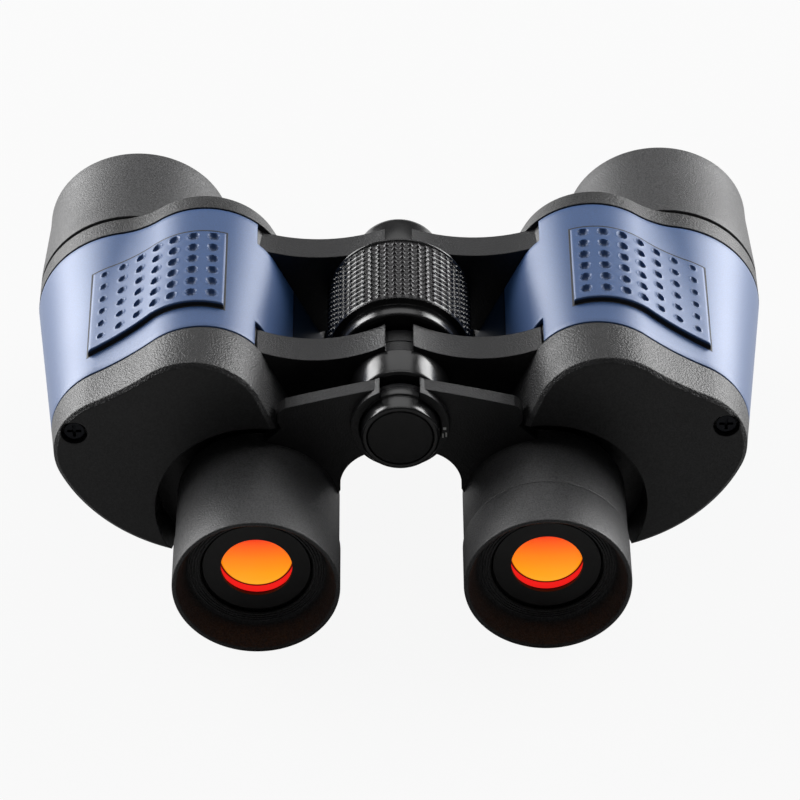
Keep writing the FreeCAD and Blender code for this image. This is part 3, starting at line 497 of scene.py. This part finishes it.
def shell_grid(y, offset=0.0):
    """Grid of (x, z) for y of shape (rows, columns): the closed outline, with columns on the notch's cuts."""
    arcs = outline_arcs(y)
    inner, flank, top = arcs["inner"][0], arcs["inner"][2], arcs["inner"][3]
    cut = np.arccos((root_x - inner[0]) / (inner[2] + offset))
    low, high = share_of * (cut - flank), (cut - flank) + share_of * (top - cut)
    turn = flank + np.where(block_of == "inner_low", low, high)
    x, z = inner[0] + (inner[2] + offset) * np.cos(turn), inner[1] + (inner[2] + offset) * np.sin(turn)
    for name in ("hollow", "outer", "lower", "eye"):
        ax, az = arc_points(arcs[name], share_of, offset)
        x, z = np.where(block_of == name, ax, x), np.where(block_of == name, az, z)
    eye = arcs["eye"][0]
    foot = eye[0] + (eye[2] + offset) * np.cos(flank), eye[1] + (eye[2] + offset) * np.sin(flank)
    head = inner[0] + (inner[2] + offset) * np.cos(flank), inner[1] + (inner[2] + offset) * np.sin(flank)
    split = np.clip((root_z - foot[1]) / (head[1] - foot[1]), 0.05, 0.9)
    part = np.where(block_of == "flank_low", share_of * split, split + share_of * (1 - split))
    on_flank = (block_of == "flank_low") | (block_of == "flank_high")
    x = np.where(on_flank, foot[0] + part * (head[0] - foot[0]), x)
    z = np.where(on_flank, foot[1] + part * (head[1] - foot[1]), z)
    return x, z


# the rear edge runs straight across and slants to the rear from slant_x outwards; a groove parts the shell
# from both covers
rear_edge_y, slant_x, slant, groove = 15.0, -35.7, 0.10, 0.55
arm_ys, nose_y = (24.3, 54.7), 63.0
columns = len(block_of)
rear_edge = np.full((1, columns), rear_edge_y)
for _ in range(3):
    rear_edge = rear_edge_y + slant * np.minimum(shell_grid(rear_edge)[0] - slant_x, 0)
levels = [rear_edge + groove + (arm_ys[0] - rear_edge - groove) * t for t in np.linspace(0, 1, 7)[:-1]]
levels += [np.full((1, columns), y) for y in np.linspace(*arm_ys, 23)[:-1]]
levels += [np.full((1, columns), y) for y in np.linspace(arm_ys[1], nose_y - groove, 6)]
grid_y = np.concatenate(levels)
grid_x, grid_z = shell_grid(grid_y)
panel_x, panel_ys = (-77.9, -43.7), (22.3, 52.8)
sweep_x, sweep, under_margin, panel_low_z = -62.0, 0.25, 1.5, -12

faces = quads(*grid_y.shape, wrap_columns=True)
row, column = faces[:, 0] // columns, faces[:, 0] % columns
face_x, face_z = grid_x.ravel()[faces].mean(1), grid_z.ravel()[faces].mean(1)
face_y = grid_y.ravel()[faces].mean(1)
beside_arm = (np.isin(block_of[column], ["flank_high", "inner_low"])
              & ((face_y < arm_ys[0]) | (face_y > arm_ys[1])))
pad_place = face_y + sweep * np.maximum(sweep_x - face_x, 0)
under_panel = (
    (face_x > panel_x[0] + under_margin) & (face_x < panel_x[1] - under_margin)
    & (pad_place > panel_ys[0] + under_margin) & (pad_place < panel_ys[1] - under_margin)
    & (face_z > panel_low_z))
shell_points = np.stack([grid_x, grid_y, grid_z], -1).reshape(-1, 3)
shell_faces = faces[~beside_arm & ~under_panel]
mirror = np.array([-1.0, 1.0, 1.0])
armour_wall = 0.0012


def on_side(side, points, faces):
    """The left piece as it is, or its mirror image with its faces turned back outwards."""
    return (points, faces) if side == "left" else (points * mirror, faces[:, ::-1])


for side in ("left", "right"):
    shell = new_piece(side + "_painted_shell", *on_side(side, shell_points, shell_faces), paint,
                      side + "_half", "painted_blue", [side + "_armour_shell"], closed=False)
    solid = shell.modifiers.new("sheet_thickness", "SOLIDIFY")
    solid.thickness, solid.offset, solid.use_even_offset = armour_wall, -1.0, True
    edge = shell.modifiers.new("soft_edges", "BEVEL")
    edge.width, edge.segments, edge.harden_normals = 0.0003, 2, False
    edge.limit_method, edge.angle_limit = "ANGLE", math.radians(50)

# ---------------------------------------------------------------- dimpled grip panels
# A raised thumb pad is moulded on each shell: highest at its rear edge, nearly flush at the front, with six
# rows of seven round dimples, smaller on the outside.  It has the shell's own paint; the wall round it and a
# line at its foot, where a groove lies in shade, are black grained plastic: painted shade.
panel_heights, pad_corner, dimple_rs, dimple_depth = (1.6, 0.3), 0.5, (0.85, 1.45), 1.35
dimple_rows, dimple_columns = 6, 7
side_margin, rear_margin, front_margin, line_width = 3.3, 3.6, 2.5, 0.45


def top_height(x, y, offset):
    """Height of the outline's upper side at x: inner lobe, hollow or outer lobe, whichever holds that x."""
    arcs = outline_arcs(y)
    inner, inner_r, _, inner_end, _ = arcs["inner"]
    hollow, hollow_r, *_ = arcs["hollow"]
    outer, outer_r, outer_start, *_ = arcs["outer"]
    on_inner = inner[1] + np.sqrt(np.maximum((inner_r + offset) ** 2 - (x - inner[0]) ** 2, 0))
    in_hollow = hollow[1] - np.sqrt(np.maximum((hollow_r - offset) ** 2 - (x - hollow[0]) ** 2, 0))
    on_outer = outer[1] + np.sqrt(np.maximum((outer_r + offset) ** 2 - (x - outer[0]) ** 2, 0))
    first = inner[0] + (inner_r + offset) * np.cos(inner_end)
    last = outer[0] + (outer_r + offset) * np.cos(outer_start)
    return np.where(x > first, on_inner, np.where(x > last, in_hollow, on_outer))


along_x = np.linspace(panel_x[0] - 1.0, panel_x[1] + 1.0, 400)
middle_z = top_height(along_x, np.full(400, np.mean(panel_ys)), 1.0)
arc_length = np.concatenate([[0], np.cumsum(np.hypot(np.diff(along_x), np.diff(middle_z)))])
start, stop = np.interp(panel_x, along_x, arc_length)
across, deep = stop - start, panel_ys[1] - panel_ys[0]
sunk, shade_line = 9, 8  # marks for the two outer rings, which take their own heights


def rounded_edge(length, step):
    """Places along one direction of the pad and how far each lies below the top: a sunk edge (sunk), the line
    in painted shade round the pad (shade_line), a quarter round, the flat, and the same again."""
    turn = np.linspace(0, np.pi / 2, 5)
    inset, drop = pad_corner * (1 - np.cos(turn)), pad_corner * (1 - np.sin(turn))
    flat = np.linspace(pad_corner, length - pad_corner, int(length / step))[1:-1]
    before, after = [-line_width - 0.05, -line_width, 0], [length, length + line_width,
                                                           length + line_width + 0.05]
    places = np.concatenate([before, inset, flat, length - inset[::-1], after])
    drops = np.concatenate([[sunk, shade_line, shade_line], drop, 0 * flat, drop[::-1], [shade_line, shade_line, sunk]])
    return places, drops


u, u_drop = rounded_edge(across, 0.27)
v, v_drop = rounded_edge(deep, 0.27)
v_grid, u_grid = np.meshgrid(v, u, indexing="ij")
pitch_u = (across - 2 * side_margin) / (dimple_columns - 1)
pitch_v = (deep - rear_margin - front_margin) / (dimple_rows - 1)
near_u = side_margin + pitch_u * np.clip(np.round((u_grid - side_margin) / pitch_u), 0, dimple_columns - 1)
near_v = rear_margin + pitch_v * np.clip(np.round((v_grid - rear_margin) / pitch_v), 0, dimple_rows - 1)
dimple_r = np.interp(near_u, (0, 0.7 * across), dimple_rs)
away = np.hypot(u_grid - near_u, v_grid - near_v) / dimple_r
dimple = dimple_depth * dimple_r / dimple_rs[1] * np.clip(1 - away ** 2, 0, 1) ** 0.6
lip = 0.10 * np.exp(-((away - 1.12) / 0.12) ** 2)
pad_x = np.interp(u_grid + start, arc_length, along_x)
pad_y = panel_ys[0] + v_grid - sweep * np.maximum(sweep_x - pad_x, 0)
pad_height = panel_heights[0] + (panel_heights[1] - panel_heights[0]) * v_grid / deep
drop = np.maximum(u_drop[None, :], v_drop[:, None])
pad_offset = np.maximum(pad_height - np.hypot(u_drop[None, :], v_drop[:, None]) - dimple + lip,
                        np.where(away < 1, -1.15, -0.25))
pad_offset = np.where(drop == sunk, -0.25, np.where(drop == shade_line, 0.05, pad_offset))
pad_z = top_height(pad_x, pad_y, pad_offset)
pad_points = np.stack([pad_x, pad_y, pad_z], -1).reshape(-1, 3)
pad_faces = quads(*pad_y.shape)[:, ::-1]
# faces of the pad's wall and of the line round it take the black edge material: painted shade
painted_shade_faces = (drop.ravel()[pad_faces].max(1) >= shade_line).astype(np.int32)
for side in ("left", "right"):
    new_piece(side + "_dimpled_pad", *on_side(side, pad_points, pad_faces), paint, side + "_half",
              "painted_blue", [side + "_grip_panel"], closed=False, second=(shadow_gap, painted_shade_faces))

# ---------------------------------------------------------------- focus wheel
# Glossy black wheel on the hinge axle with moulded pyramid knurling: twelve rows between two plain rims, and
# a smooth smaller ring at its rear end.
polish, tree = new_material("polished_black_abs")
place = add_node(tree, "TexCoord", {})
wave = add_node(tree, "TexNoise", {"Vector": place.outputs["Object"], "Scale": 260.0, "Detail": 2.0})
gloss = add_node(tree, "MapRange", {"Value": wave.outputs[0], 1: 0.3, 2: 0.7, 3: 0.2, 4: 0.27})
edge = add_node(tree, "Bevel", {"samples": 4, "Radius": 0.0003})
bump = add_node(tree, "Bump", {"Strength": 0.3, "Distance": 0.00002, "Height": wave.outputs[0],
                               "Normal": edge.outputs[0]})
skin = add_node(tree, "BsdfPrincipled", {"Base Color": linear("#0e0e0f"), "Roughness": gloss.outputs[0],
                                         "IOR": 1.53, "Normal": bump.outputs[0]})
add_node(tree, "OutputMaterial", {"Surface": skin.outputs[0]})

wheel_r, ring_r, wheel_bore = 18.5, 16.2, 7.1
wheel_y, ring_end_y, wheel_end_y, rim = 25.2, 29.3, 54.6, 0.95
knurl_rows, knurl_turns, knurl_depth, knurl_cells = 12, 56, 0.75, 6
knurl_ys = np.linspace(ring_end_y + 0.5 + rim, wheel_end_y - rim, knurl_rows * knurl_cells + 1)
knurl = np.stack([np.full(len(knurl_ys), wheel_r), knurl_ys], -1)
before = rounded([(wheel_bore, wheel_y, 0.1), (ring_r, wheel_y, 0.8), (ring_r, ring_end_y, 0.3),
                  (wheel_r, ring_end_y + 0.2, 0.6)])
after = rounded([(wheel_r, wheel_end_y, 0.6), (wheel_bore, wheel_end_y, 0.1), (wheel_bore, 44.0, 0.1),
                 (wheel_bore, 36.0, 0.1)])
profile = np.concatenate([before, knurl, after])
turns = knurl_turns * knurl_cells
angle = np.linspace(0, 2 * np.pi, turns, endpoint=False)
knurled = (np.arange(len(profile)) >= len(before)) & (np.arange(len(profile)) < len(before) + len(knurl))
row_share = np.where(knurled, (profile[:, 1] - knurl_ys[0]) / (knurl_ys[-1] - knurl_ys[0]) * knurl_rows, 0)
saw_along = 1 - np.abs(2 * (row_share % 1) - 1)
saw_round = 1 - np.abs(2 * (np.arange(turns) / knurl_cells % 1) - 1)
# the lower of two saw teeth is a pyramid; stretched, it gets a flat floor between pyramids
pyramid = np.clip(1.5 * np.minimum(saw_along[:, None], saw_round[None, :]) - 0.35, 0, 1)
radius = profile[:, 0:1] - np.where(knurled[:, None], knurl_depth * (1 - pyramid), 0)
wheel_points = np.stack([radius * np.cos(angle), profile[:, 1:2] + 0 * angle, radius * np.sin(angle)], -1)
new_piece("knurled_wheel", wheel_points.reshape(-1, 3), quads(len(profile), turns, True, True), polish,
          "focus_wheel", "gloss_black", ["focus_wheel"], sharp=20.0)

# ---------------------------------------------------------------- hinge collar, front cap and end cap
# Turned-looking glossy mouldings on the hinge axle: a flared collar behind the rear arms, a domed cap in
# front, and the stepped cap that closes the bridge, with a matt disc let into its face.
hinge = (0.0, 0.0)
collar = rounded([(7.05, 6.3), (12.2, 6.3, 1.0), (13.0, 14.8, 0.4), (7.05, 14.8)])
new_piece("flared_collar", *turned(collar, hinge), polish, "left_half", "gloss_black", ["hinge_collar"])
cap_low, cap_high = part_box("hinge_front_cap")
cap_y, cap_end_y = cap_low.y * 1000 - hinge_line[1], cap_high.y * 1000 - hinge_line[1]
cap_r = (cap_high.x - cap_low.x) * 500
front_cap = rounded([(0.01, cap_end_y), (cap_r - 0.4, cap_end_y, 2.4), (cap_r, cap_y, 0.3), (7.1, cap_y),
                     (7.1, cap_y + 3.4), (0.01, cap_y + 3.4)])
new_piece("domed_front_cap", *turned(front_cap, hinge), polish, "left_half", "gloss_black",
          ["hinge_front_cap"])
cap_low, cap_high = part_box("bridge_end_cap")
cap_y, cap_end_y = [corner.y * 1000 - hinge_line[1] for corner in (cap_low, cap_high)]
step_y = cap_end_y - 2.2
end_cap = rounded([
    (0.01, cap_end_y), (10.0, cap_end_y, 0.1), (10.0, step_y + 0.15, 0.3), (9.45, step_y - 0.1, 0.15),
    (9.45, step_y - 0.5, 0.15),
    (9.8, step_y - 0.75, 0.2), (9.7, cap_y, 1.1), (8.35, cap_y, 0.25), (8.25, cap_y + 0.8),
    (0.01, cap_y + 0.8)])
new_piece("stepped_end_cap", *turned(end_cap, hinge), polish, "left_eyepiece", "gloss_black",
          ["bridge_end_cap"])
disc = rounded([(0.01, cap_y + 0.1), (8.1, cap_y + 0.1, 0.25), (8.1, cap_y + 0.8), (0.01, cap_y + 0.8)])
new_piece("matt_cap_disc", *turned(disc, hinge), matt_cell, "left_eyepiece", "moulded_black",
          ["end_cap_disc"])

# ---------------------------------------------------------------- axle, shaft, washers, clips and screws
# Steel inside and between the arms: blacked axle and screws, bright focus shaft and pin, spring-steel clips.
blacked, tree = new_material("blacked_steel")
place = add_node(tree, "TexCoord", {})
turning = add_node(tree, "TexNoise", {"Vector": place.outputs["Object"], "Scale": 900.0, "Detail": 1.0})
gloss = add_node(tree, "MapRange", {"Value": turning.outputs[0], 1: 0.3, 2: 0.7, 3: 0.28, 4: 0.4})
edge = add_node(tree, "Bevel", {"samples": 4, "Radius": 0.0002})
steel = add_node(tree, "BsdfPrincipled", {"Base Color": linear("#26272a"), "Metallic": 1.0,
                                          "Roughness": gloss.outputs[0], "Normal": edge.outputs[0]})
add_node(tree, "OutputMaterial", {"Surface": steel.outputs[0]})
wear(both("cover_screw") + ["hinge_axle", "wheel_washer"], blacked)
bright, tree = new_material("ground_steel")
place = add_node(tree, "TexCoord", {})
turning = add_node(tree, "TexNoise", {"Vector": place.outputs["Object"], "Scale": 1500.0, "Detail": 1.0})
gloss = add_node(tree, "MapRange", {"Value": turning.outputs[0], 1: 0.3, 2: 0.7, 3: 0.2, 4: 0.32})
steel = add_node(tree, "BsdfPrincipled", {"Base Color": linear("#b9bcc0"), "Metallic": 1.0,
                                          "Roughness": gloss.outputs[0]})
add_node(tree, "OutputMaterial", {"Surface": steel.outputs[0]})
wear(both("first_prism_clip", "second_prism_clip") + ["focus_shaft", "focus_cross_pin"], bright)

# ---------------------------------------------------------------- interpupillary scale marks
# A dot and two dashes in white ink on the right bridge arm, beside the end cap: plain generic marks, given as
# middle x, middle z, half width and half height.
ink, tree = new_material("white_marking_ink")
chalk = add_node(tree, "BsdfPrincipled", {"Base Color": linear("#dcdcda"), "Roughness": 0.7})
add_node(tree, "OutputMaterial", {"Surface": chalk.outputs[0]})
mark_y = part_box("right_bridge_arm")[0].y * 1000 - hinge_line[1] - 0.02
marks = [(11.0, -0.3, 0.40, 0.40), (10.6, -2.5, 0.18, 0.70), (11.4, -2.2, 0.18, 0.70)]
mark_points = np.array([(x + i * w, mark_y, z + k * h) for x, z, w, h in marks for i, k in square])
new_piece("scale_marks", mark_points, np.arange(12).reshape(3, 4), ink, "right_eyepiece", "moulded_black",
          closed=False)

bpy.context.scene.view_settings.view_transform = "Standard"
